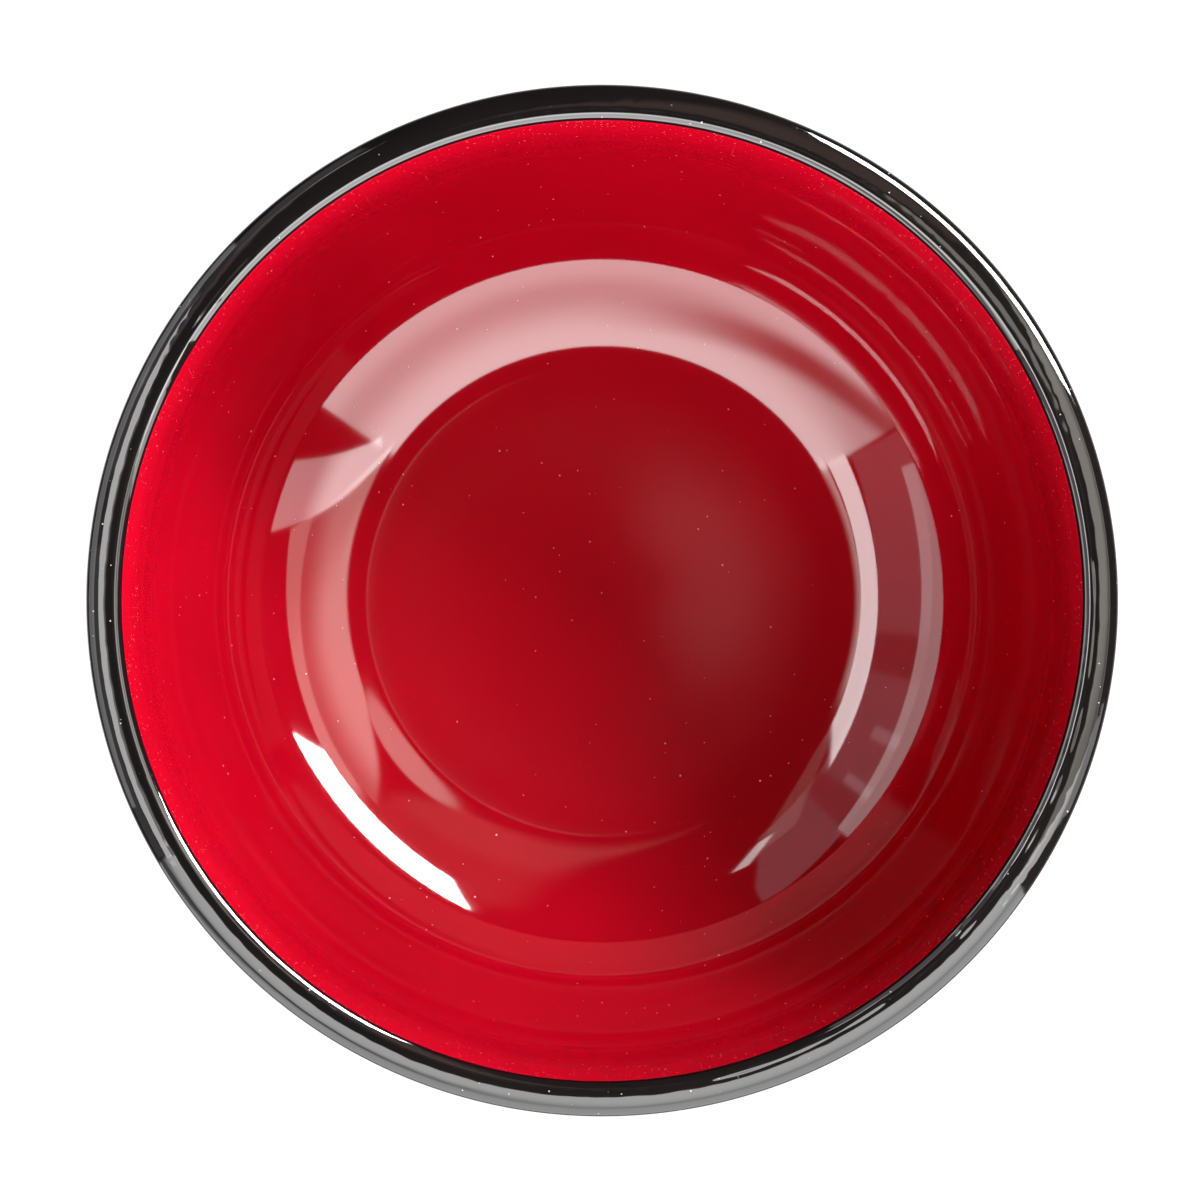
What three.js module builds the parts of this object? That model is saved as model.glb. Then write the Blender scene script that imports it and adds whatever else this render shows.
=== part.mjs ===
// Miso soup bowl moulded in two colours: a black outer shell with its rim and foot ring,
// and a red liner fused into the shell below the rim.
// Millimetres, +Z up, with the origin on the table at the centre of the foot ring.

import * as THREE from 'three';

// Overall sizes
const rimDiameter = 115; // outside of the rim, the widest part of the bowl
const rimHeight = 70; // table to the crown of the rim
const footDiameter = 57; // outside of the foot ring at the table
const footHeight = 7.4; // table to the shell's underside within the foot ring

// Walls
const shellWall = 2; // black layer
const linerWall = 1.7; // red layer
const bondGap = 0.2; // clearance between the layers, which are fused on the real bowl
const footWall = 3.4; // foot ring at the table, from its inside to its outside

// Inside curve of the bowl: a shallow dished floor, three bends, then a slightly bowed wall
const floorDiameter = 55.4; // up to where the wall starts to rise
const floorDish = 0.3; // depth of the floor's middle below its edge
const lowerBendRadius = 25.4;
const lowerBendSlope = 31; // degrees, at the top of the lower bend
const middleBendRadius = 19.3;
const middleBendSlope = 62; // degrees, at the top of the middle bend
const upperBendRadius = 44.2;
const upperBendSlope = 86.6; // degrees, at the top of the upper bend

// Rim: a domed crown between two rounded corners
const crownInset = 2.3; // outside of the rim to its highest line
const crownOuterDrop = 0.75; // fall of the crown to its outer corner
const crownInnerDrop = 0.25; // fall of the crown to its inner corner
const rimOuterRound = 1.1;
const rimInnerRound = 0.7;

// Joint between the colours
const seamDrop = 1.6; // highest line of the rim to the top of the liner
const seamGroove = 0.25; // height of the open groove between the liner and the black rim
const linerProud = 0.15; // how far the liner stands inside the face of the black rim
const linerEdgeRound = 0.25; // top inner edge of the liner

// Foot ring
const footDraft = 3; // degrees, taper of both sides for release from the mould
const footEdgeRound = 0.6; // both edges of the resting face
const footFillet = 2.5; // foot ring into the shell's outside
const recessFillet = 1.5; // foot ring into the shell's underside

// Facets
const turnSteps = 64; // round the bowl
const floorSteps = 2;
const lowerBendSteps = 4;
const middleBendSteps = 4;
const upperBendSteps = 4;
const wallSteps = 2;
const crownSteps = 2; // on each side of the highest line
const roundSteps = 4; // in each rounded corner

const radians = THREE.MathUtils.degToRad;
const mix = THREE.MathUtils.lerp;

// A point of an outline: its distance from the axis, its height and the radius that rounds it off.
const corner = (radius, height, round = 0) => ({ radius, height, round });

// Points along a bend that starts at a point of known slope and ends at another slope, start left out.
function bend(start, endSlope, bendRadius, steps) {
  return Array.from({ length: steps }, (_, index) => {
    const slope = mix(start.slope, endSlope, (index + 1) / steps);
    return {
      radius: start.radius + bendRadius * (Math.sin(slope) - Math.sin(start.slope)),
      height: start.height + bendRadius * (Math.cos(start.slope) - Math.cos(slope)),
      slope,
    };
  });
}

// Points along the arc that leaves a point at its own slope and passes through another, start left out.
function arcThrough(start, radius, height, steps) {
  const across = radius - start.radius;
  const up = height - start.height;
  const halfTurn = Math.atan2(up, across) - start.slope;
  return Array.from({ length: steps }, (_, index) => {
    const share = (index + 1) / steps;
    const turned = share * halfTurn;
    const reach = halfTurn === 0 ? share : Math.sin(turned) / Math.sin(halfTurn);
    const distance = reach * Math.hypot(across, up);
    return {
      radius: start.radius + distance * Math.cos(start.slope + turned),
      height: start.height + distance * Math.sin(start.slope + turned),
      slope: start.slope + 2 * turned,
    };
  });
}

// The same curve moved outwards, square to itself.
const movedOut = (curve, distance) => curve.map(({ radius, height, slope }) => ({
  radius: radius + distance * Math.sin(slope),
  height: height - distance * Math.cos(slope),
  slope,
}));

// Distance of a rising curve from the axis at a given height, also a little past its end.
function radiusAt(curve, height) {
  const above = curve.findIndex((point, index) => index > 0 && point.height >= height);
  const end = above < 0 ? curve.length - 1 : above;
  const [low, high] = [curve[end - 1], curve[end]];
  return mix(low.radius, high.radius, (height - low.height) / (high.height - low.height));
}

// Outline corners along a rising curve up to a height, where the last one is rounded off.
// The curve runs straight into that rounding, from twice its radius below.
function upTo(curve, height, round = 0) {
  const below = curve.filter((point) => point.height < height - 2 * round);
  const corners = below.map((point) => corner(point.radius, point.height));
  return [...corners, corner(radiusAt(curve, height), height, round)];
}

// An outline with each corner that has a rounding radius replaced by its arc.
// A rounding is no larger than the sides beside it have room for.
function rounded(corners) {
  const side = (from, to) => new THREE.Vector2(to.radius - from.radius, to.height - from.height);
  const room = (from, to) => side(from, to).length() / (to.round > 0 ? 2 : 1);
  return corners.flatMap((tip, index) => {
    const place = new THREE.Vector2(tip.radius, tip.height);
    if (tip.round === 0) return [place];
    const [before, after] = [corners[index - 1], corners[index + 1]];
    const back = side(tip, before).normalize();
    const ahead = side(tip, after).normalize();
    const halfAngle = Math.acos(back.dot(ahead)) / 2;
    const setback = Math.min(tip.round / Math.tan(halfAngle), room(tip, before), room(tip, after));
    const centre = back.clone().add(ahead).setLength(setback / Math.cos(halfAngle)).add(place);
    const first = back.clone().multiplyScalar(setback).add(place);
    const turn = Math.sign(ahead.cross(back)) * (Math.PI - 2 * halfAngle);
    return Array.from({ length: roundSteps + 1 }, (_, step) => (
      first.clone().rotateAround(centre, turn * step / roundSteps)
    ));
  });
}

// A solid turned about the bowl's upright axis from an outline that starts and ends on it.
function turned(name, outline, material) {
  const geometry = new THREE.LatheGeometry(outline, turnSteps).rotateX(Math.PI / 2);
  const mesh = new THREE.Mesh(geometry, material);
  mesh.name = name;
  return mesh;
}

// Inside curve of the liner, from the middle of the floor up to where the rim starts to round over
const wall = shellWall + bondGap + linerWall;
const floorHeight = footHeight + wall;
const floorMiddle = { radius: 0, height: floorHeight, slope: 0 };
const dish = arcThrough(floorMiddle, floorDiameter / 2, floorHeight + floorDish, floorSteps);
const lowerBend = bend(dish.at(-1), radians(lowerBendSlope), lowerBendRadius, lowerBendSteps);
const middleBend = bend(lowerBend.at(-1), radians(middleBendSlope), middleBendRadius, middleBendSteps);
const upperBend = bend(middleBend.at(-1), radians(upperBendSlope), upperBendRadius, upperBendSteps);
const rimSpring = rimHeight - crownOuterDrop - rimOuterRound / 2;
const bowedWall = arcThrough(upperBend.at(-1), rimDiameter / 2 - wall, rimSpring, wallSteps);
const inside = [floorMiddle, ...dish, ...lowerBend, ...middleBend, ...upperBend, ...bowedWall];

// The other faces of both layers follow the inside curve
const linerBack = movedOut(inside, linerWall);
const shellSeat = movedOut(inside, linerWall + bondGap);
const shellOutside = movedOut(inside, wall);
const rimFace = movedOut(inside, linerProud);

// Inner liner: up its back, over its top edge and down its inside
function innerLiner() {
  const top = rimHeight - seamDrop;
  const back = upTo(linerBack, top);
  const front = upTo(inside, top, linerEdgeRound).reverse();
  const red = new THREE.MeshStandardMaterial({ color: 0xb00a1c, roughness: 0.12, metalness: 0 });
  return turned('inner_liner', rounded([...back, ...front]), red);
}

// Foot ring: from the shell's underside over the resting face to the corner below the shell's outside
function footRing() {
  const taper = Math.tan(radians(footDraft));
  const outer = (height) => footDiameter / 2 + height * taper;
  const inner = (height) => footDiameter / 2 - footWall - height * taper;
  const overhang = (point) => point.radius - outer(point.height);
  const past = shellOutside.findIndex((point) => overhang(point) > 0);
  const [within, beyond] = [shellOutside[past - 1], shellOutside[past]];
  const share = overhang(within) / (overhang(within) - overhang(beyond));
  const top = mix(within.height, beyond.height, share);
  return [
    corner(inner(footHeight), footHeight, recessFillet),
    corner(inner(0), 0, footEdgeRound),
    corner(outer(0), 0, footEdgeRound),
    corner(outer(top), top, footFillet),
  ];
}

// Half of the domed crown, from its highest line towards a corner, which is left out.
function crownHalf(edge) {
  const middle = rimDiameter / 2 - crownInset;
  const reach = edge.radius - middle;
  const arc = arcThrough({ radius: 0, height: rimHeight, slope: 0 }, Math.abs(reach), edge.height, crownSteps);
  const between = [{ radius: 0, height: rimHeight }, ...arc.slice(0, -1)];
  return between.map(({ radius, height }) => corner(middle + Math.sign(reach) * radius, height));
}

// Outer shell: underside, foot ring, outside, rim, and the seat that holds the liner
function outerShell() {
  const foot = footRing();
  const filletEnd = foot.at(-1).radius + footFillet;
  const outside = upTo(shellOutside, rimHeight - crownOuterDrop, rimOuterRound)
    .filter((point) => point.radius > filletEnd);
  const innerCornerHeight = rimHeight - crownInnerDrop;
  const innerCorner = corner(radiusAt(rimFace, innerCornerHeight), innerCornerHeight, rimInnerRound);
  const seatTop = rimHeight - seamDrop + seamGroove;
  const outline = rounded([
    corner(0, footHeight),
    ...foot,
    ...outside,
    ...crownHalf(outside.at(-1)).reverse(),
    ...crownHalf(innerCorner).slice(1),
    innerCorner,
    corner(radiusAt(rimFace, seatTop), seatTop),
    ...upTo(shellSeat, seatTop).reverse(),
  ]);
  const black = new THREE.MeshStandardMaterial({ color: 0x14110f, roughness: 0.14, metalness: 0 });
  return turned('outer_shell', outline, black);
}

const bowl = new THREE.Group();
bowl.name = 'miso_soup_bowl';
bowl.add(outerShell(), innerLiner());

export default bowl;
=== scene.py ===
"""Looks of a two-colour moulded soup bowl: its meshes, its finishes, a plain studio and the camera.

Metres and +Z up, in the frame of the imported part. The origin is on the table, under the middle of the
foot ring.
"""

import logging
import math
from dataclasses import dataclass
from enum import Enum
from typing import Callable, Union

import bmesh
import bpy
from mathutils import Color, Matrix, Vector, noise


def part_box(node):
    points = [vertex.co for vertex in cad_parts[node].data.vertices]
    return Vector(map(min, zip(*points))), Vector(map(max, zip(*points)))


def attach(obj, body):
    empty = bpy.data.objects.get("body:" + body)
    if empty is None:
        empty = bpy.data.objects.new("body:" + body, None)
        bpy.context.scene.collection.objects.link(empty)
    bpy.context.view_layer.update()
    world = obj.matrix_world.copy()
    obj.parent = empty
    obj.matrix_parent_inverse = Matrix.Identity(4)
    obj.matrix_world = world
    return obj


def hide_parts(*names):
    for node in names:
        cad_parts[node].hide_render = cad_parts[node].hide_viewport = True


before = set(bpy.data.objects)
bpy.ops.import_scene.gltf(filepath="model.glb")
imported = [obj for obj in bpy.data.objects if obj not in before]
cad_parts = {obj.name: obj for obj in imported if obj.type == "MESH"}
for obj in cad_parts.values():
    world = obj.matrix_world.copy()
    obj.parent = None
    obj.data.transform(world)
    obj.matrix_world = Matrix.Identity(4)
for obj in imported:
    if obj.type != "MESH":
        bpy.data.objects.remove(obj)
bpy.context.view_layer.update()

LOG = logging.getLogger("soup_bowl")

MM = 0.001
BODY = "root"
SECTOR_STEPS = 40  # facets round the sector that is turned
SECTOR_DOUBLINGS = 4  # times that the sector is doubled to go right round
MERGE_DISTANCE = 1e-7
SHARP_ANGLE = math.radians(50.0)
WARM = (1.0, 0.93, 0.86)
COOL = (0.97, 0.9, 1.0)
BROWN = (1.0, 0.68, 0.6)

Colour = tuple[float, float, float, float]
Input = Union["Value", bpy.types.NodeSocket, float, tuple]


class Slot(Enum):
    """The record's material slots."""

    BLACK = "black_melamine"
    RED = "red_melamine"


class Role(Enum):
    """What a lamp is for. Each value is the visibility setting that keeps it out of the other role."""

    GLOSS = "visible_diffuse"  # shows as a reflection and adds nothing to the colour
    COLOUR = "visible_glossy"  # brings out the colour and shows in no reflection


class Ray(Enum):
    """Outputs of the Light Path node that see the white background."""

    CAMERA = "Is Camera Ray"
    GLOSSY = "Is Glossy Ray"
    TRANSMISSION = "Is Transmission Ray"


def linear(red: int, green: int, blue: int) -> Colour:
    """Turns a colour as a screen shows it into the linear one that shaders take.

    Args:
        red: Red from 0 to 255.
        green: Green from 0 to 255.
        blue: Blue from 0 to 255.

    Returns:
        The opaque linear colour.
    """
    shown = Color((red / 255, green / 255, blue / 255))
    return (*shown.from_srgb_to_scene_linear(), 1.0)


class SectionPen:
    """Draws the half section of a turned piece by dragging one vertex with bmesh operators.

    Points are a distance from the bowl's axis and a height. Headings are radians from outwards towards up.
    """

    def __init__(self) -> None:
        """Starts with an empty mesh."""
        self.mesh = bmesh.new()
        self.tip: bmesh.types.BMVert | None = None
        self.heading = 0.0
        self.corners: list[tuple[bmesh.types.BMVert, float]] = []

    def start(self, radius: float, height: float, heading: float = 0.0) -> None:
        """Sets the pen down at a new point.

        Args:
            radius: Distance from the axis.
            height: Height above the table.
            heading: Direction of the next turn.
        """
        self.tip = self.mesh.verts.new((radius, 0.0, height))
        self.heading = heading

    def run_to(
            self, radius: float, height: float, heading: float | None = None,
            rounding: float = 0.0) -> None:
        """Draws a straight stroke.

        Args:
            radius: Distance of its end from the axis.
            height: Height of its end.
            heading: Direction of the next turn, or none to go on straight.
            rounding: Setback of the round that the end gets when the section is closed.
        """
        end = Vector((radius, 0.0, height))
        stroke = end - self.tip.co
        self.tip = bmesh.ops.extrude_vert_indiv(self.mesh, verts=[self.tip])["verts"][0]
        self.tip.co = end
        self.heading = math.atan2(stroke.z, stroke.x) if heading is None else heading
        if rounding > 0.0:
            self.corners.append((self.tip, rounding))

    def turn(self, bend: float, heading: float, steps: int) -> None:
        """Draws an arc that starts in the pen's own direction.

        Args:
            bend: Radius of the arc.
            heading: Direction at its end.
            steps: Facets along it.
        """
        angle = heading - self.heading
        reach = math.copysign(bend, angle)
        centre = self.tip.co + Vector((-math.sin(self.heading), 0.0, math.cos(self.heading))) * reach
        swung = bmesh.ops.spin(
            self.mesh, geom=[self.tip], cent=centre, axis=(0.0, -1.0, 0.0), angle=angle,
            steps=steps, use_merge=False)
        self.tip = next(end for end in swung["geom_last"] if isinstance(end, bmesh.types.BMVert))
        self.heading = heading

    def turn_to_height(self, bend: float, height: float, steps: int) -> None:
        """Draws a rising arc that ends at a given height.

        Args:
            bend: Radius of the arc.
            height: Height of its end.
            steps: Facets along it.
        """
        centre_height = self.tip.co.z + bend * math.cos(self.heading)
        self.turn(bend, math.acos((centre_height - height) / bend), steps)

    def close(self, first: bmesh.types.BMVert, rounding_steps: int) -> None:
        """Joins the pen to the end of another stroke and rounds off the corners.

        Args:
            first: Where the other stroke ended.
            rounding_steps: Facets in each round.
        """
        self.mesh.edges.new((self.tip, first))
        for corner, setback in self.corners:
            bmesh.ops.bevel(
                self.mesh, geom=[corner], offset=setback, offset_type="OFFSET", segments=rounding_steps,
                profile=0.5, affect="VERTICES", material=-1, clamp_overlap=True)

    def turned(self) -> bmesh.types.BMesh:
        """Turns the section about the bowl's axis.

        Returns:
            The closed solid.
        """
        sector = math.tau / 2 ** SECTOR_DOUBLINGS
        bmesh.ops.spin(
            self.mesh, geom=self.mesh.verts[:] + self.mesh.edges[:], cent=(0.0, 0.0, 0.0),
            axis=(0.0, 0.0, 1.0), angle=sector, steps=SECTOR_STEPS, use_merge=False)
        for doubling in range(SECTOR_DOUBLINGS):
            whole = self.mesh.verts[:] + self.mesh.edges[:] + self.mesh.faces[:]
            copied = bmesh.ops.duplicate(self.mesh, geom=whole)["geom"]
            bmesh.ops.rotate(
                self.mesh, verts=[part for part in copied if isinstance(part, bmesh.types.BMVert)],
                cent=(0.0, 0.0, 0.0), matrix=Matrix.Rotation(sector * 2 ** doubling, 3, "Z"))
        bmesh.ops.remove_doubles(self.mesh, verts=self.mesh.verts, dist=MERGE_DISTANCE)
        bmesh.ops.recalc_face_normals(self.mesh, faces=self.mesh.faces)
        self.mesh.normal_update()
        return self.mesh


@dataclass(frozen=True)
class BowlCurve:
    """The inside curve of the bowl, which every layer follows at its own distance.

    The floor is a shallow dish. Three bends take it up into a wall that bows gently out to the rim.
    """

    rim_reach: float  # distance of the red wall from the axis where the rim springs
    rim_spring: float  # height where the rim springs
    floor_height: float
    floor_reach: float = 27.7 * MM
    floor_dish: float = 0.3 * MM
    lower_bend: float = 25.4 * MM
    lower_slope: float = math.radians(31.0)
    middle_bend: float = 19.3 * MM
    middle_slope: float = math.radians(62.0)
    upper_bend: float = 44.2 * MM
    upper_slope: float = math.radians(86.6)

    def bends(self) -> list[tuple[float, float]]:
        """Lists the radius and the end slope of each bend below the wall, from the axis out."""
        dish_bend = (self.floor_reach ** 2 + self.floor_dish ** 2) / (2 * self.floor_dish)
        return [
            (dish_bend, 2 * math.atan2(self.floor_dish, self.floor_reach)),
            (self.lower_bend, self.lower_slope),
            (self.middle_bend, self.middle_slope),
            (self.upper_bend, self.upper_slope),
        ]

    def bend_end(self, count: int) -> tuple[float, float, float]:
        """Finds where a number of bends end.

        Args:
            count: How many bends, from the axis out.

        Returns:
            Distance from the axis, height and slope.
        """
        radius, height, slope = 0.0, self.floor_height, 0.0
        for bend, end_slope in self.bends()[:count]:
            radius += bend * (math.sin(end_slope) - math.sin(slope))
            height += bend * (math.cos(slope) - math.cos(end_slope))
            slope = end_slope
        return radius, height, slope

    def lower_centre(self) -> tuple[float, float]:
        """Gives the centre of the lower bend, as a distance from the axis and a height."""
        radius, height, slope = self.bend_end(1)
        return radius - self.lower_bend * math.sin(slope), height + self.lower_bend * math.cos(slope)

    def wall_bend(self) -> float:
        """Works out the radius of the bowed wall.

        Returns:
            The radius of the arc that leaves the upper bend smoothly and reaches the rim's spring.
        """
        radius, height, slope = self.bend_end(len(self.bends()))
        across, up = self.rim_reach - radius, self.rim_spring - height
        return math.hypot(across, up) / (2 * math.sin(math.atan2(up, across) - slope))

    def draw(
            self, pen: SectionPen, offset: float, top: float,
            steps: tuple[int, int, int, int, int]) -> None:
        """Draws the curve at a distance outside the red face, from the axis up to a height.

        Args:
            pen: The pen of the piece's section.
            offset: Distance from the red face, square to it.
            top: Height where the stroke ends.
            steps: Facets in the floor, the three bends and the wall.
        """
        pen.start(0.0, self.floor_height - offset)
        for (bend, slope), count in zip(self.bends(), steps):
            pen.turn(bend + offset, slope, count)
        pen.turn_to_height(self.wall_bend() + offset, top, steps[-1])


class Value:
    """A number in a node tree. Python's operators on it add Math nodes."""

    def __init__(self, sheet: "NodeSheet", socket: bpy.types.NodeSocket) -> None:
        """Keeps the socket and the sheet that it is on."""
        self.sheet = sheet
        self.socket = socket

    def math(self, operation: str, *others: Input) -> "Value":
        """Adds a Math node.

        Args:
            operation: The node's operation.
            others: Its second and third inputs.

        Returns:
            The node's result.
        """
        inputs = dict(enumerate((self, *others)))
        return self.sheet.value("ShaderNodeMath", {"operation": operation}, inputs)

    def __add__(self, other: Input) -> "Value":
        """Adds a number."""
        return self.math("ADD", other)

    def __sub__(self, other: Input) -> "Value":
        """Takes a number away."""
        return self.math("SUBTRACT", other)

    def __mul__(self, other: Input) -> "Value":
        """Multiplies by a number."""
        return self.math("MULTIPLY", other)

    def __truediv__(self, other: Input) -> "Value":
        """Divides by a number."""
        return self.math("DIVIDE", other)

    def __rsub__(self, other: float) -> "Value":
        """Takes this value away from a number."""
        return self * -1.0 + other

    __radd__ = __add__
    __rmul__ = __mul__

    def ramp(self, start: float, end: float) -> "Value":
        """Rises smoothly from 0 to 1.

        Args:
            start: Where the result is 0.
            end: Where the result is 1.

        Returns:
            The smooth step between them.
        """
        settings = {"interpolation_type": "SMOOTHSTEP"}
        inputs = {"Value": self, "From Min": start, "From Max": end}
        return self.sheet.value("ShaderNodeMapRange", settings, inputs)


class NodeSheet:
    """A node tree that finishes are drawn on."""

    def __init__(self, tree: bpy.types.NodeTree) -> None:
        """Clears the tree."""
        self.tree = tree
        self.tree.nodes.clear()

    def node(
            self, kind: str, settings: dict[str, object], inputs: dict[str | int, Input]) -> bpy.types.Node:
        """Adds a node.

        Args:
            kind: Blender's name of the node's type.
            settings: The node's own properties, which are set first.
            inputs: Values and links of its sockets.

        Returns:
            The node.
        """
        made = self.tree.nodes.new(kind)
        for name, setting in settings.items():
            setattr(made, name, setting)
        for name, given in inputs.items():
            if isinstance(given, Value):
                self.tree.links.new(given.socket, made.inputs[name])
            elif isinstance(given, bpy.types.NodeSocket):
                self.tree.links.new(given, made.inputs[name])
            else:
                made.inputs[name].default_value = given
        return made

    def value(
            self, kind: str, settings: dict[str, object], inputs: dict[str | int, Input],
            output: str | int = 0) -> Value:
        """Adds a node and wraps one of its number outputs.

        Args:
            kind: Blender's name of the node's type.
            settings: The node's own properties.
            inputs: Values and links of its sockets.
            output: The output that is wrapped.

        Returns:
            The output's value.
        """
        return Value(self, self.node(kind, settings, inputs).outputs[output])

    def mix(self, share: Input, first: Input, second: Input) -> bpy.types.NodeSocket:
        """Mixes two colours.

        Args:
            share: How much of the second shows.
            first: The colour at a share of 0.
            second: The colour at a share of 1.

        Returns:
            The mixed colour.
        """
        settings = {"data_type": "RGBA"}
        return self.node("ShaderNodeMix", settings, {0: share, 6: first, 7: second}).outputs[2]

    def flattened(self, vector: bpy.types.NodeSocket) -> bpy.types.NodeSocket:
        """Drops a vector's height."""
        inputs = {0: vector, 1: (1.0, 1.0, 0.0)}
        return self.node("ShaderNodeVectorMath", {"operation": "MULTIPLY"}, inputs).outputs[0]

    def length(self, vector: bpy.types.NodeSocket) -> Value:
        """Gives a vector's length."""
        return self.value("ShaderNodeVectorMath", {"operation": "LENGTH"}, {0: vector}, "Value")


@dataclass(frozen=True)
class Dust:
    """Specks of one kind that settled on a face."""

    cells: float  # places for a speck in a metre
    size: float  # radius of the largest speck
    share: float  # share of the places that hold one, far from the rim
    rim_share: float  # what is added to it at the rim
    strength: float = 0.5
    roughness: float = 0.6


@dataclass(frozen=True)
class Melamine:
    """A polished melamine layer: its colour, its gloss and the marks on it."""

    slot: Slot
    colour: Colour
    shade: Colour  # the deeper tone that the resin clouds into
    dust: Colour
    groove_shade: Colour = linear(26, 6, 9)  # painted shade of the fine groove between the layers
    roughness: float = 0.045
    refraction: float = 1.5
    polish_spread: float = 0.01  # how much rougher the dullest patches are
    cloud_scale: float = 38.0
    cloud_detail: float = 3.0
    cloud_range: tuple[float, float] = (0.35, 0.7)  # noise at which the clouds start and are full
    polish_scale: float = 90.0
    polish_detail: float = 4.0
    polish_range: tuple[float, float] = (0.5, 0.75)  # noise at which the dull patches start and are full
    peel_scale: float = 420.0  # the fine orange peel of the moulded face
    peel_detail: float = 2.0
    peel_height: float = 0.4e-6

    def build(self, marks: Callable[["MelamineSheet"], None]) -> bpy.types.Material:
        """Makes the material.

        Args:
            marks: Adds the marks that only this layer has.

        Returns:
            The material.
        """
        material = bpy.data.materials.new(self.slot.value)
        material.use_nodes = True
        sheet = MelamineSheet(material.node_tree, self)
        marks(sheet)
        sheet.finish()
        return material


class MelamineSheet(NodeSheet):
    """The node tree of one melamine layer, on which marks are laid one over the other."""

    held_edge = 0.12  # how far past its threshold a place holds a full-grown speck
    smallest_speck = 0.4  # radius of the smallest full-grown speck, as a share of the largest
    speck_edge = 0.25  # width of a speck's soft edge, as a share of the largest radius

    def __init__(self, tree: bpy.types.NodeTree, layer: Melamine) -> None:
        """Reads the place on the bowl and lays the clouded base colour."""
        super().__init__(tree)
        self.layer = layer
        self.place = self.node("ShaderNodeTexCoord", {}, {}).outputs["Object"]
        apart = self.node("ShaderNodeSeparateXYZ", {}, {0: self.place}).outputs
        self.height = Value(self, apart["Z"])
        self.radius = self.length(self.flattened(self.place))
        cloud = self.noise(layer.cloud_scale, layer.cloud_detail)
        self.colour = self.mix(cloud.ramp(*layer.cloud_range), layer.colour, layer.shade)
        dull = self.noise(layer.polish_scale, layer.polish_detail).ramp(*layer.polish_range)
        self.roughness = layer.roughness + layer.polish_spread * dull
        self.relief = self.noise(layer.peel_scale, layer.peel_detail)
        self.coat: Input = 0.0
        # share of the painted groove shade laid over the gloss, which the marks set
        self.painted_shade: Input = 0.0

    def noise(self, scale: float, detail: float) -> Value:
        """Adds noise between 0 and 1.

        Args:
            scale: Lumps in a metre.
            detail: Finer octaves.

        Returns:
            The noise at each place on the bowl.
        """
        inputs = {"Vector": self.place, "Scale": scale, "Detail": detail}
        return self.value("ShaderNodeTexNoise", {}, inputs)

    def specks(self, cells: float, size: float, share: Input) -> Value:
        """Scatters round specks.

        Args:
            cells: Places for a speck in a metre.
            size: Radius of the largest speck, in metres.
            share: Share of the places that hold one.

        Returns:
            1 on a speck and 0 beside it.
        """
        cell = self.node("ShaderNodeTexVoronoi", {}, {"Vector": self.place, "Scale": cells})
        draw = self.node("ShaderNodeSeparateColor", {}, {0: cell.outputs["Color"]}).outputs
        held = (Value(self, draw["Red"]) + share - 1.0).ramp(0.0, self.held_edge)
        grown = Value(self, draw["Green"]) * (1.0 - self.smallest_speck) + self.smallest_speck
        reach = held * grown * (size * cells)
        return (reach - cell.outputs["Distance"]).ramp(0.0, self.speck_edge * size * cells)

    def lay(self, share: Value, colour: Colour, roughness: float) -> None:
        """Lays a mark over what is there.

        Args:
            share: Where it shows, and how strongly.
            colour: Its colour.
            roughness: Its roughness.
        """
        self.colour = self.mix(share, self.colour, colour)
        self.roughness = self.roughness * (1.0 - share) + share * roughness

    def settle(self, dust: Dust, near_rim: Value) -> None:
        """Lays dust, thicker towards the rim.

        Args:
            dust: Its specks.
            near_rim: 0 far from the rim and 1 at it.
        """
        specks = self.specks(dust.cells, dust.size, dust.share + dust.rim_share * near_rim)
        self.lay(dust.strength * specks, self.layer.dust, dust.roughness)

    def finish(self) -> None:
        """Joins the gloss and the painted shade of the groove."""
        bump = self.node("ShaderNodeBump", {}, {
            "Strength": 1.0, "Distance": self.layer.peel_height, "Height": self.relief})
        gloss = self.node("ShaderNodeBsdfPrincipled", {}, {
            "Base Color": self.colour, "Roughness": self.roughness, "IOR": self.layer.refraction,
            "Coat Weight": self.coat, "Coat Roughness": self.layer.roughness, "Normal": bump.outputs[0]})
        # dark diffuse finish painted where the groove between the layers lies in shade
        painted_shade = self.node("ShaderNodeBsdfDiffuse", {}, {"Color": self.layer.groove_shade})
        both = self.node("ShaderNodeMixShader", {}, {
            0: self.painted_shade, 1: gloss.outputs[0], 2: painted_shade.outputs[0]})
        self.node("ShaderNodeOutputMaterial", {}, {"Surface": both.outputs[0]})


def finished_piece(name: str, mesh: bmesh.types.BMesh, material: bpy.types.Material) -> bpy.types.Object:
    """Makes a smooth object of a finished mesh.

    Args:
        name: The piece's name.
        mesh: Its mesh, which is freed.
        material: Its finish.

    Returns:
        The object, at the origin.
    """
    for face in mesh.faces:
        face.smooth = True
    data = bpy.data.meshes.new(name)
    mesh.to_mesh(data)
    mesh.free()
    data.set_sharp_from_angle(angle=SHARP_ANGLE)
    data.materials.append(material)
    piece = bpy.data.objects.new(name, data)
    bpy.context.scene.collection.objects.link(piece)
    return piece


def push_out(mesh: bmesh.types.BMesh, amount: Callable[[Vector], float]) -> None:
    """Moves each point of a mesh along its normal.

    Args:
        mesh: The mesh.
        amount: How far a point at a place goes.
    """
    moved = [(vertex, vertex.co + vertex.normal * amount(vertex.co)) for vertex in mesh.verts]
    for vertex, place in moved:
        vertex.co = place


def eased(share: float) -> float:
    """Eases a share, which is first held between 0 and 1."""
    held = min(max(share, 0.0), 1.0)
    return held ** 2 * (3.0 - 2.0 * held)


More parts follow.
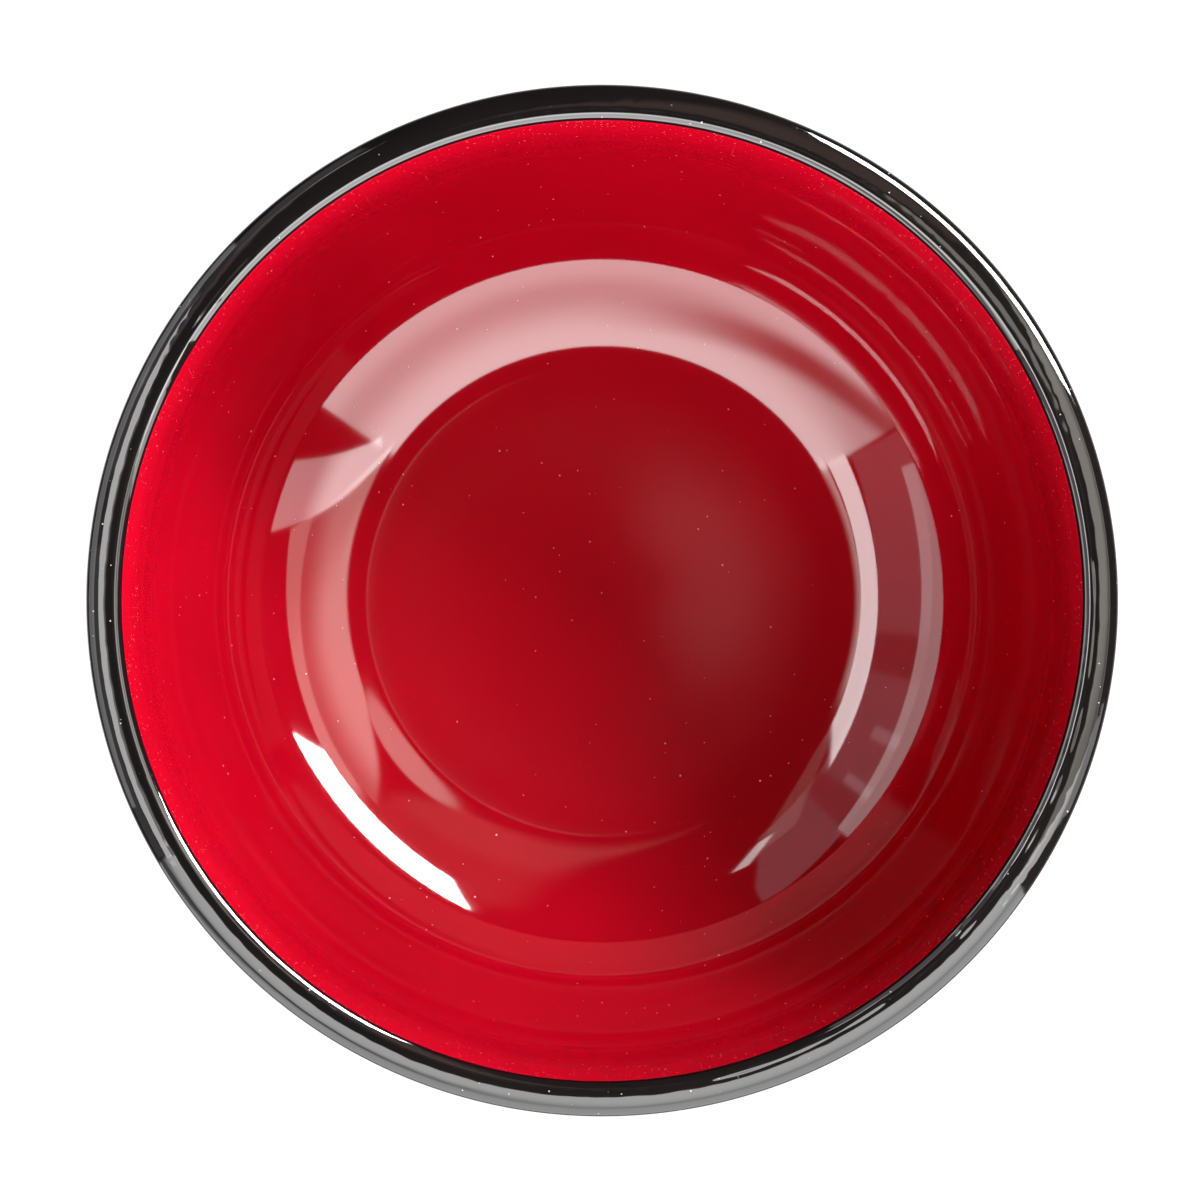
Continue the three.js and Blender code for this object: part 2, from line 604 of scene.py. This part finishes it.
@dataclass
class InnerLiner:
    """The red layer, which ends in a fine groove under the black rim."""

    curve: BowlCurve
    top: float
    wall: float = 1.7 * MM
    edge_round: float = 0.25 * MM
    wave_height: float = 0.004 * MM
    wave_length: float = 14.0 * MM
    swell_height: float = 0.3 * MM  # low swell of the floor, a little off its middle
    swell_width: float = 15.0 * MM
    swell_middle: tuple[float, float] = (3.6 * MM, 1.7 * MM)
    front_steps: tuple[int, int, int, int, int] = (10, 26, 28, 26, 16)
    back_steps: tuple[int, int, int, int, int] = (3, 7, 7, 6, 3)
    edge_steps: int = 6
    dusts: tuple[Dust, ...] = (
        Dust(800.0, 0.15 * MM, 0.12, 0.3, strength=0.6), Dust(1400.0, 0.12 * MM, 0.14, 0.5, strength=0.6))
    dust_heights: tuple[float, float] = (44.0 * MM, 64.0 * MM)  # from thin dust to thick dust
    dull_reach: float = 22.0 * MM  # middle of the floor to where its duller polish starts to end
    floor_dulling: float = 0.03  # added to the roughness
    rim_dulling: float = 0.05
    painted_shade_depth: float = 0.2 * MM  # below the top edge, to where the painted groove shade ends
    painted_shade_blend: float = 0.03 * MM

    def build(self) -> bpy.types.Object:
        """Builds the layer.

        Returns:
            The dressed piece.
        """
        pen = SectionPen()
        self.curve.draw(pen, self.wall, self.top, self.back_steps)
        back = pen.tip
        self.curve.draw(pen, 0.0, self.top - self.edge_round, self.front_steps)
        pen.turn(self.edge_round, 0.0, self.edge_steps)
        pen.close(back, self.edge_steps)
        mesh = pen.turned()
        push_out(mesh, self.wave)
        return finished_piece("red_liner", mesh, self.finish())

    def wave(self, place: Vector) -> float:
        """Gives the faint unevenness of the moulded face.

        Args:
            place: A point of the layer.

        Returns:
            How far it stands out.
        """
        if place.z < self.curve.floor_height - self.wall / 2:
            return 0.0
        away = (place.xy - Vector(self.swell_middle)).length / self.swell_width
        swell = self.swell_height * math.exp(-away ** 2)
        return swell + self.wave_height * noise.noise(place / self.wave_length)

    def finish(self) -> bpy.types.Material:
        """Makes the red finish."""
        red = Melamine(
            Slot.RED, colour=linear(166, 4, 29), shade=linear(158, 3, 26), dust=linear(236, 190, 180))
        return red.build(self.mark)

    def mark(self, sheet: MelamineSheet) -> None:
        """Lays dust, the duller polish of the floor and painted shade on the top edge, in the groove under
        the rim.

        Args:
            sheet: The red finish.
        """
        near_rim = sheet.height.ramp(*self.dust_heights)
        floor = 1.0 - sheet.radius.ramp(self.dull_reach, self.curve.floor_reach)
        sheet.roughness = sheet.roughness + self.floor_dulling * floor + self.rim_dulling * near_rim
        for dust in self.dusts:
            sheet.settle(dust, near_rim)
        # the liner's top edge is painted dark, as the shade of the groove under the rim
        painted_shade_end = self.top - self.painted_shade_depth
        sheet.painted_shade = sheet.height.ramp(painted_shade_end - self.painted_shade_blend, painted_shade_end + self.painted_shade_blend)


@dataclass
class OuterShell:
    """The black layer, with the rim and the foot ring in one piece with it."""

    curve: BowlCurve
    liner_top: float
    rim_height: float
    wall: float = 3.9 * MM  # from the red face to the black outside
    seat_offset: float = 1.9 * MM  # from the red face to the seat behind the liner
    groove: float = 0.25 * MM
    spring_rise: float = 0.3 * MM  # top of the liner to where the rim springs
    foot_height: float = 7.4 * MM
    foot_reach: float = 28.5 * MM
    foot_wall: float = 3.4 * MM
    foot_draft: float = math.radians(3.0)
    foot_edge: float = 0.6 * MM
    foot_fillet: float = 2.5 * MM
    fillet_clear: float = 1.25  # where the outside goes on after the fillet, as a share of its setback
    recess_fillet: float = 1.5 * MM
    rim_bends: tuple[float, ...] = (
        0.59 * MM, 5.7 * MM, 1.52 * MM, 4.9 * MM, 12.0 * MM, 8.08 * MM, 1.02 * MM, 2.36 * MM, 0.1 * MM)
    rim_slopes: tuple[float, ...] = (  # degrees, where each bend ends
        28.5, 22.3, 11.3, 7.3, 5.7, -3.0, -22.3, -33.0, -90.0)
    rim_steps: tuple[int, ...] = (8, 7, 8, 4, 4, 15, 5, 8, 5)
    chamfer_reach: float = 0.68 * MM  # red face to the outside of the polished chamfer
    chamfer_blend: float = 0.05 * MM
    chamfer_coat: float = 0.8
    painted_shade_reach: float = 0.19 * MM  # red face to the outside of the painted groove shade
    painted_shade_blend: float = 0.03 * MM
    rubbed_heights: tuple[float, float] = (0.05 * MM, 0.35 * MM)  # from the full rub of tables to none
    rubbed_colour: Colour = linear(46, 42, 40)
    rubbed_share: float = 0.8
    rubbed_roughness: float = 0.42
    dust: Dust = Dust(900.0, 0.14 * MM, 0.05, 0.4)
    dust_depths: tuple[float, float] = (5.0 * MM, 2.0 * MM)  # below the rim, from thin dust to thick
    outside_steps: tuple[int, int, int, int] = (12, 12, 12, 6)
    seat_steps: tuple[int, int, int, int, int] = (2, 5, 5, 5, 2)
    corner_steps: int = 6
    buff_depth: float = 0.5 * MM  # how far below the highest line trimming and buffing reached
    buff_height: float = 0.008 * MM
    buff_lumps: float = 60.0
    buff_grain: float = 0.9  # lumps in a millimetre across the crown
    ridge_height: float = 0.07 * MM  # low ridge left along the crown where flash was trimmed
    ridge_inset: float = 2.5 * MM  # outside of the rim to the ridge's foot
    ridge_width: float = 0.4 * MM
    ridge_lumps: float = 14.0
    ridge_level: float = 0.5  # height between lumps and hollows, as a share of ridge_height
    ridge_arcs: tuple[tuple[float, float], ...] = ((84.0, 134.0), (144.0, 168.0), (302.0, 319.0))
    ridge_fade: float = 2.0  # degrees over which the ends of an arc rise

    def build(self) -> bpy.types.Object:
        """Builds the shell.

        Returns:
            The dressed piece.
        """
        pen = SectionPen()
        self.curve.draw(pen, self.seat_offset, self.liner_top + self.groove, self.seat_steps)
        seat = pen.tip
        pen.start(0.0, self.foot_height)
        self.draw_foot(pen)
        self.draw_outside(pen)
        self.draw_rim(pen)
        pen.close(seat, self.corner_steps)
        mesh = pen.turned()
        push_out(mesh, self.buffing)
        return finished_piece("black_shell", mesh, self.finish())

    def draw_foot(self, pen: SectionPen) -> None:
        """Draws the underside and the foot ring, up to where its fillet meets the outside.

        Args:
            pen: The pen, at the middle of the underside.
        """
        taper = math.tan(self.foot_draft)
        quarter = math.tan(math.pi / 4 - self.foot_draft / 2)
        inner = self.foot_reach - self.foot_wall
        recess = inner - self.foot_height * taper
        pen.run_to(recess, self.foot_height, rounding=self.recess_fillet * quarter)
        pen.run_to(inner, 0.0, rounding=self.foot_edge * quarter)
        pen.run_to(self.foot_reach, 0.0, rounding=self.foot_edge * quarter)
        centre_radius, centre_height = self.curve.lower_centre()
        bend = self.curve.lower_bend + self.wall
        reach = self.foot_reach + taper * centre_height - centre_radius
        slope = math.asin(reach * math.cos(self.foot_draft) / bend) - self.foot_draft
        setback = self.foot_fillet * math.tan((math.pi / 2 - self.foot_draft - slope) / 2)
        for angle, rounding in ((slope, setback), (slope + self.fillet_clear * setback / bend, 0.0)):
            radius = centre_radius + bend * math.sin(angle)
            pen.run_to(radius, centre_height - bend * math.cos(angle), heading=angle, rounding=rounding)

    def draw_outside(self, pen: SectionPen) -> None:
        """Draws the outside from the foot's fillet to the rim.

        Args:
            pen: The pen, on the lower bend.
        """
        *bend_steps, wall_steps = self.outside_steps
        for (bend, slope), steps in zip(self.curve.bends()[1:], bend_steps):
            pen.turn(bend + self.wall, slope, steps)
        top = self.rim_height - self.crown_drop()
        pen.turn_to_height(self.curve.wall_bend() + self.wall, top, wall_steps)

    def crown_drop(self) -> float:
        """Works out how far the top of the outside lies below the crown's highest line.

        Returns:
            The height that the bends outside that line climb.
        """
        climbed, slope = 0.0, math.pi / 2
        for bend, end in zip(self.rim_bends, self.rim_slopes):
            end_slope = max(math.radians(end), 0.0)
            climbed += bend * (math.cos(end_slope) - math.cos(slope))
            slope = end_slope
        return climbed

    def draw_rim(self, pen: SectionPen) -> None:
        """Draws the rounded edge, the domed crown, the chamfer and the face down to the groove.

        Args:
            pen: The pen, at the top of the outside.
        """
        for bend, slope, steps in zip(self.rim_bends, self.rim_slopes, self.rim_steps):
            pen.turn(bend, math.pi - math.radians(slope), steps)
        pen.run_to(pen.tip.co.x, self.liner_top + self.groove)

    def buffing(self, place: Vector) -> float:
        """Gives the fine unevenness that trimming and buffing left across the crown.

        Args:
            place: A point of the shell.

        Returns:
            How far it stands out.
        """
        if place.z < self.rim_height - self.buff_depth:
            return 0.0
        outward = Vector((place.x, place.y, 0.0))
        inset = self.curve.rim_reach + self.wall - outward.length
        azimuth = math.degrees(math.atan2(place.x, place.y)) % 360.0
        fine = outward.normalized() * self.buff_lumps
        uneven = self.buff_height * noise.noise(fine + Vector((0.0, 0.0, self.buff_grain * inset / MM)))
        along = max(min(azimuth - start, end - azimuth) for start, end in self.ridge_arcs)
        lump = max(0.0, self.ridge_level + noise.noise(outward.normalized() * self.ridge_lumps))
        height = self.ridge_height * lump * eased(along / self.ridge_fade)
        return uneven + height * eased((inset - self.ridge_inset) / self.ridge_width)

    def finish(self) -> bpy.types.Material:
        """Makes the black finish."""
        black = Melamine(
            Slot.BLACK, colour=linear(17, 14, 13), shade=linear(13, 11, 11), dust=linear(190, 184, 178),
            refraction=1.42)
        return black.build(self.mark)

    def mark(self, sheet: MelamineSheet) -> None:
        """Lays the rubbed foot, the brighter polish of the chamfer, painted shade by the groove and a
        little dust.

        Args:
            sheet: The black finish.
        """
        inset = sheet.radius - self.curve.rim_reach
        above = sheet.height.ramp(self.liner_top, self.liner_top + self.groove)
        chamfer = 1.0 - inset.ramp(self.chamfer_reach, self.chamfer_reach + self.chamfer_blend)
        sheet.coat = self.chamfer_coat * above * chamfer
        # the black face beside the groove is painted dark, as shade that hides its reflection of the red
        groove_shade = 1.0 - inset.ramp(self.painted_shade_reach - self.painted_shade_blend, self.painted_shade_reach + self.painted_shade_blend)
        sheet.painted_shade = above * groove_shade
        rubbed = 1.0 - sheet.height.ramp(*self.rubbed_heights)
        sheet.lay(self.rubbed_share * rubbed, self.rubbed_colour, self.rubbed_roughness)
        near_rim = sheet.height.ramp(*(self.rim_height - depth for depth in self.dust_depths))
        sheet.settle(self.dust, near_rim)


@dataclass(frozen=True)
class Panel:
    """A standing soft panel of light, placed by the part of the sky that it fills as the bowl sees it.

    Azimuths are degrees clockwise from +Y, seen from above. Elevations are at the panel's middle.
    """

    name: str
    role: Role
    azimuths: tuple[float, float]
    elevations: tuple[float, float]
    brightness: float  # at 1 it is as bright as white paper
    distance: float = 0.6
    lean: float = 0.0  # degrees that its top leans towards higher azimuths
    tint: tuple[float, float, float] = (1.0, 1.0, 1.0)
    shade: Callable[[Value, Value], Value] | None = None  # share of the light, by across and elevation

    def build(self, mouth: Vector) -> None:
        """Puts the panel up.

        Args:
            mouth: The middle of the bowl's mouth.
        """
        start, end = (math.radians(angle) for angle in self.azimuths)
        middle = (start + end) / 2
        low, high = (self.distance * math.tan(math.radians(angle)) for angle in self.elevations)
        lamp = bpy.data.lights.new(self.name, "AREA")
        lamp.shape = "RECTANGLE"
        lamp.size = 2 * self.distance * math.tan((end - start) / 2)
        lamp.size_y = high - low
        lamp.energy = self.brightness * math.pi * lamp.size * lamp.size_y
        lamp.color = self.tint
        if self.shade is not None:
            self.soften(lamp)
        stand = bpy.data.objects.new(self.name, lamp)
        stand.location = mouth + Vector((
            self.distance * math.sin(middle), self.distance * math.cos(middle), (low + high) / 2))
        stand.rotation_euler = (math.pi / 2, -math.radians(self.lean), math.pi - middle)
        setattr(stand, self.role.value, False)
        bpy.context.scene.collection.objects.link(stand)

    def soften(self, lamp: bpy.types.Light) -> None:
        """Varies the light over the panel's face.

        Args:
            lamp: The panel's lamp.
        """
        lamp.use_nodes = True
        sheet = NodeSheet(lamp.node_tree)
        face = sheet.node("ShaderNodeNewGeometry", {}, {}).outputs["Parametric"]
        apart = sheet.node("ShaderNodeSeparateXYZ", {}, {0: face}).outputs
        across = 1.0 - Value(sheet, apart["X"])
        low, high = (math.tan(math.radians(angle)) for angle in self.elevations)
        width = 2 * math.tan(math.radians(self.azimuths[1] - self.azimuths[0]) / 2)
        away = (((across - 0.5) * width).math("POWER", 2.0) + 1.0).math("SQRT")
        climb = (Value(sheet, apart["Y"]) * (high - low) + low) / away
        share = self.shade(across, climb.math("ARCTANGENT") * math.degrees(1.0))
        glow = sheet.node("ShaderNodeEmission", {}, {"Strength": share})
        sheet.node("ShaderNodeOutputLight", {}, {"Surface": glow.outputs[0]})


@dataclass
class Studio:
    """The white table, the soft lamps and the camera straight above the bowl."""

    mouth: Vector
    table_size: float = 30.0
    table_drop: float = 0.02 * MM
    table_white: float = 0.8
    table_glow: float = 0.85  # share of plain white in what the camera and the gloss see
    room: Colour = (0.03, 0.03, 0.032, 1.0)
    fill_distance: float = 0.75
    bar_core: float = 0.6  # share of a bar's half width that has the full shade
    ceiling: Colour = (1.1, 1.05, 1.0, 1.0)  # pale patch of ceiling beside the camera
    ceiling_start: float = math.sin(math.radians(1.0))
    ceiling_end: float = math.sin(math.radians(2.4))
    ceiling_azimuth: float = math.radians(75.0)
    camera_height: float = 0.9  # above the rim
    picture_width: float = 133.9 * MM  # across the picture, at the widest part of the bowl
    widest_drop: float = 2.0 * MM
    sensor: float = 36.0
    bowl_right: float = 0.245 * MM  # middle of the bowl to the right of the picture's middle
    bowl_below: float = 0.067 * MM

    def gloss_panels(self) -> list[Panel]:
        """Lists the lamps that show in the gloss."""
        gloss = Role.GLOSS
        return [
            Panel(
                "front_wall", gloss, (124.8, 239.3), (-4.0, 84.0), 12.0, distance=0.45,
                shade=self.front_shade),
            Panel("front_edge", gloss, (112.1, 125.4), (30.0, 76.0), 11.0, lean=6.4, shade=self.edge_shade),
            Panel("key_box", gloss, (23.5, 66.5), (33.3, 45.5), 100.0, distance=0.8, shade=self.key_shade),
            Panel("left_top", gloss, (236.0, 296.0), (76.7, 80.8), 5.0, tint=WARM, shade=self.top_shade),
            Panel("left_high_strip", gloss, (239.0, 308.0), (67.4, 76.6), 12.0, shade=self.strip_shade),
            Panel("left_low_strip", gloss, (246.0, 314.0), (24.0, 42.3), 3.2),
            Panel("left_wall", gloss, (240.0, 332.0), (36.0, 68.5), 0.9, tint=COOL, shade=self.wall_shade),
            Panel("left_flag", gloss, (306.6, 317.4), (56.0, 75.3), 1.0, lean=-10.5, tint=BROWN),
            Panel("left_sliver", gloss, (327.1, 330.9), (52.0, 60.2), 8.0, lean=-16.0),
            Panel(
                "umbrella", gloss, (55.0, 117.0), (45.0, 79.0), 6.0, lean=8.0, tint=WARM,
                shade=self.umbrella_shade),
            Panel(
                "umbrella_top", gloss, (34.0, 70.0), (74.5, 87.2), 4.5, distance=0.15, tint=WARM,
                shade=self.disc_shade),
            Panel(
                "back_glow", gloss, (-20.0, 33.0), (34.0, 86.0), 0.9, lean=-5.0, tint=BROWN,
                shade=self.glow_shade),
        ]

    def colour_panels(self) -> list[Panel]:
        """Lists the lamps that bring out the colour."""
        levels = {
            "front_high_fill": ((124.5, 239.5), (45.0, 78.0), 1.5),
            "front_middle_fill": ((124.5, 239.5), (20.0, 45.0), 4.8),
            "front_low_fill": ((124.5, 239.5), (2.0, 20.0), 18.0),
            "key_fill": ((38.0, 50.0), (34.0, 45.0), 108.0),
            "back_fill": ((0.0, 60.0), (5.0, 30.0), 6.0),
            "right_fill": ((75.0, 95.0), (4.0, 30.0), 43.0),
            "umbrella_fill": ((47.0, 106.0), (50.0, 80.0), 1.4),
            "left_fill": ((246.0, 314.0), (2.0, 24.0), 0.5),
        }
        return [
            Panel(name, Role.COLOUR, *level, distance=self.fill_distance)
            for name, level in levels.items()
        ]

    def front_shade(self, across: Value, elevation: Value) -> Value:
        """Shades the front wall, with a soft slanting smear at its left and a level top.

        Args:
            across: Place across the panel, from 0 to 1 with the azimuth.
            elevation: Degrees above the horizon.

        Returns:
            The share of the light.
        """
        dimmed = 0.18 * elevation.ramp(32.0, 46.0)
        raised = 0.42 * elevation.ramp(48.0, 74.0)
        lit = 0.7 - dimmed + raised - 0.08 * across
        beside = (elevation + 62.0 * across - 93.4).math("ABSOLUTE")
        smear = (1.0 - beside.ramp(2.0, 14.0)) * across.ramp(0.45, 0.76)
        past_top = elevation.ramp(78.2, 79.2)
        return lit * (1.0 - 0.85 * smear) * (1.0 - past_top)

    def edge_shade(self, across: Value, elevation: Value) -> Value:
        """Dims the foot of the front wall's edge and ends it at the wall.

        Args:
            across: Place across the panel, from 0 to 1 with the azimuth.
            elevation: Degrees above the horizon.

        Returns:
            The share of the light.
        """
        lit = 0.4 + 0.6 * elevation.ramp(44.0, 60.0)
        past_end = (across + 0.1 * (elevation - 67.8)).ramp(0.98, 1.02)
        return lit * (1.0 - past_end)

    def key_shade(self, across: Value, elevation: Value) -> Value:
        """Narrows the key box towards its top.

        Args:
            across: Place across the panel, from 0 to 1 with the azimuth.
            elevation: Degrees above the horizon.

        Returns:
            The share of the light.
        """
        aside = (across - 0.5).math("ABSOLUTE") * 2.0
        narrowing = 0.022 * (elevation - 33.3)
        return 1.0 - (aside + narrowing).ramp(0.98, 1.0)

    def top_shade(self, across: Value, elevation: Value) -> Value:
        """Fades the top of the left wall out upwards and at both ends.

        Args:
            across: Place across the panel, from 0 to 1 with the azimuth.
            elevation: Degrees above the horizon.

        Returns:
            The share of the light.
        """
        past_top = elevation.ramp(76.5, 80.8)
        near_end = across.ramp(0.0, 0.05)
        past_end = across.ramp(0.8, 1.0)
        return (1.0 - past_top) * near_end * (1.0 - past_end)

    def strip_shade(self, across: Value, elevation: Value) -> Value:
        """Cuts a strip's far end off at a slant.

        Args:
            across: Place across the panel, from 0 to 1 with the azimuth.
            elevation: Degrees above the horizon.

        Returns:
            The share of the light.
        """
        slanted = across + 0.0115 * (elevation - 63.0)
        return 1.0 - slanted.ramp(0.965, 0.985)

    def wall_shade(self, across: Value, elevation: Value) -> Value:
        """Stands two dark columns and two bright rods against the left wall.

        Args:
            across: Place across the panel, from 0 to 1 with the azimuth.
            elevation: Degrees above the horizon.

        Returns:
            The share of the light.
        """
        columns = 0.6 * self.bar(across, 0.453, 0.045) + 0.5 * self.bar(across, 0.72, 0.04)
        above_rods = elevation.ramp(52.0, 54.0)
        rods = (self.bar(across, 0.583, 0.014) + self.bar(across, 0.674, 0.012)) * (1.0 - above_rods)
        past_end = (across + 0.0035 * (elevation - 43.4)).ramp(0.97, 0.99)
        return (1.0 - columns + 1.4 * rods) * (1.0 - past_end)

    def bar(self, across: Value, middle: float, reach: float) -> Value:
        """Gives 1 on an upright bar and 0 beside it."""
        return 1.0 - (across - middle).math("ABSOLUTE").ramp(self.bar_core * reach, reach)

    def glow_shade(self, across: Value, elevation: Value) -> Value:
        """Softens every side of the back glow.

        Args:
            across: Place across the panel, from 0 to 1 with the azimuth.
            elevation: Degrees above the horizon.

        Returns:
            The share of the light.
        """
        sides = 1.0 - (across - 0.5).math("ABSOLUTE").ramp(0.3, 0.5)
        level = 0.6 + 0.4 * elevation.ramp(60.0, 70.0)
        above_foot = elevation.ramp(34.0, 44.0)
        past_top = elevation.ramp(79.0, 86.0)
        return sides * level * above_foot * (1.0 - past_top)

    def umbrella_shade(self, across: Value, elevation: Value) -> Value:
        """Gives the umbrella a bright lower edge and a brighter top.

        Args:
            across: Place across the panel, from 0 to 1 with the azimuth.
            elevation: Degrees above the horizon.

        Returns:
            The share of the light.
        """
        body = 0.33 + 0.67 * elevation.ramp(53.0, 69.0)
        edge = 0.8 * (1.0 - elevation.ramp(51.0, 52.5)) * across.ramp(0.05, 0.2)
        lit = edge + body * elevation.ramp(51.5, 52.5)
        far_dimming = 0.35 * across.ramp(0.55, 0.85)
        near_side = across.ramp(0.0, 0.06)
        past_top = elevation.ramp(77.0, 79.0)
        return lit * (1.0 - far_dimming) * near_side * (1.0 - past_top)

    def disc_shade(self, across: Value, elevation: Value) -> Value:
        """Rounds a panel off to a soft disc.

        Args:
            across: Place across the panel, from 0 to 1 with the azimuth.
            elevation: Degrees above the horizon.

        Returns:
            The share of the light.
        """
        aside = ((across - 0.5) * 2.0).math("POWER", 2.0)
        above = ((elevation - 80.8) / 6.3).math("POWER", 2.0)
        return 1.0 - (aside + above).ramp(0.6, 1.0)

    def build(self) -> None:
        """Builds the table, the lamps, the room's dim light and the camera."""
        self.build_table()
        self.build_room()
        for panel in self.gloss_panels() + self.colour_panels():
            panel.build(self.mouth)
        self.build_camera()

    def background_seen(self, sheet: NodeSheet, rays: tuple[Ray, ...]) -> Value:
        """Gives 1 on the rays that see the white background.

        Args:
            sheet: The tree that asks.
            rays: The kinds of ray.

        Returns:
            The mask.
        """
        path = sheet.node("ShaderNodeLightPath", {}, {}).outputs
        seen = Value(sheet, path[rays[0].value])
        for ray in rays[1:]:
            seen = seen.math("MAXIMUM", path[ray.value])
        return seen

    def build_table(self) -> None:
        """Lays the white table, which keeps the bowl's shadow."""
        mesh = bmesh.new()
        bmesh.ops.create_grid(mesh, x_segments=1, y_segments=1, size=self.table_size / 2)
        bmesh.ops.translate(mesh, verts=mesh.verts, vec=(0.0, 0.0, -self.table_drop))
        material = bpy.data.materials.new("white_table")
        material.use_nodes = True
        sheet = NodeSheet(material.node_tree)
        white = (self.table_white, self.table_white, self.table_white, 1.0)
        paper = sheet.node("ShaderNodeBsdfDiffuse", {}, {"Color": white})
        glow = sheet.node("ShaderNodeEmission", {}, {"Color": (1.0, 1.0, 1.0, 1.0), "Strength": 1.0})
        seen = self.background_seen(sheet, (Ray.CAMERA, Ray.GLOSSY, Ray.TRANSMISSION))
        both = sheet.node("ShaderNodeMixShader", {}, {
            0: seen * self.table_glow, 1: paper.outputs[0], 2: glow.outputs[0]})
        sheet.node("ShaderNodeOutputMaterial", {}, {"Surface": both.outputs[0]})
        finished_piece("table", mesh, material)

    def build_room(self) -> None:
        """Sets the dim light of the room, which the camera sees as white."""
        world = bpy.data.worlds.new("room")
        world.use_nodes = True
        bpy.context.scene.world = world
        sheet = NodeSheet(world.node_tree)
        towards = sheet.node("ShaderNodeTexCoord", {}, {}).outputs["Generated"]
        flat = sheet.flattened(towards)
        away = sheet.length(flat)
        facing = (math.sin(self.ceiling_azimuth), math.cos(self.ceiling_azimuth), 0.0)
        side = sheet.value(
            "ShaderNodeVectorMath", {"operation": "DOT_PRODUCT"}, {0: flat, 1: facing}, "Value")
        middle = (self.ceiling_start + self.ceiling_end) / 2
        ring = away.ramp(self.ceiling_start, middle) * (1.0 - away.ramp(middle, self.ceiling_end))
        patch = ring * side.ramp(0.0, self.ceiling_start)
        upward = sheet.value("ShaderNodeSeparateXYZ", {}, {0: towards}, "Z").ramp(0.0, 0.5)
        around = sheet.mix(patch * upward, self.room, self.ceiling)
        seen = self.background_seen(sheet, (Ray.CAMERA, Ray.TRANSMISSION))
        colour = sheet.mix(seen, around, (1.0, 1.0, 1.0, 1.0))
        sky = sheet.node("ShaderNodeBackground", {}, {"Color": colour, "Strength": 1.0})
        sheet.node("ShaderNodeOutputWorld", {}, {"Surface": sky.outputs[0]})

    def build_camera(self) -> None:
        """Hangs the camera straight above the bowl."""
        lens = bpy.data.cameras.new("camera")
        lens.sensor_fit = "HORIZONTAL"
        lens.sensor_width = self.sensor
        lens.lens = self.sensor * (self.camera_height + self.widest_drop) / self.picture_width
        camera = bpy.data.objects.new("camera", lens)
        camera.location = self.mouth + Vector((-self.bowl_right, self.bowl_below, self.camera_height))
        bpy.context.scene.collection.objects.link(camera)
        bpy.context.scene.camera = camera


def stand_in(piece: bpy.types.Object, node: str) -> None:
    """Puts a piece in the place of its CAD node.

    Args:
        piece: The dressed piece.
        node: The CAD node that it stands for.
    """
    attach(piece, BODY)
    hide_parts(node)
    LOG.info("%s stands for %s, with %d faces", piece.name, node, len(piece.data.polygons))


def main() -> None:
    """Builds the bowl and its studio."""
    logging.basicConfig(level=logging.INFO, format="%(name)s: %(message)s")
    bpy.context.scene.view_settings.view_transform = "Standard"
    shell_low, shell_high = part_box("outer_shell")
    liner_low, liner_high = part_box("inner_liner")
    rim_height, liner_top = shell_high.z, liner_high.z
    curve = BowlCurve(
        rim_reach=(shell_high.x - shell_low.x) / 2 - OuterShell.wall,
        rim_spring=liner_top + OuterShell.spring_rise,
        floor_height=liner_low.z + InnerLiner.wall)
    stand_in(OuterShell(curve, liner_top, rim_height).build(), "outer_shell")
    stand_in(InnerLiner(curve, liner_top).build(), "inner_liner")
    Studio(Vector((0.0, 0.0, rim_height))).build()


if __name__ == "__main__":
    main()
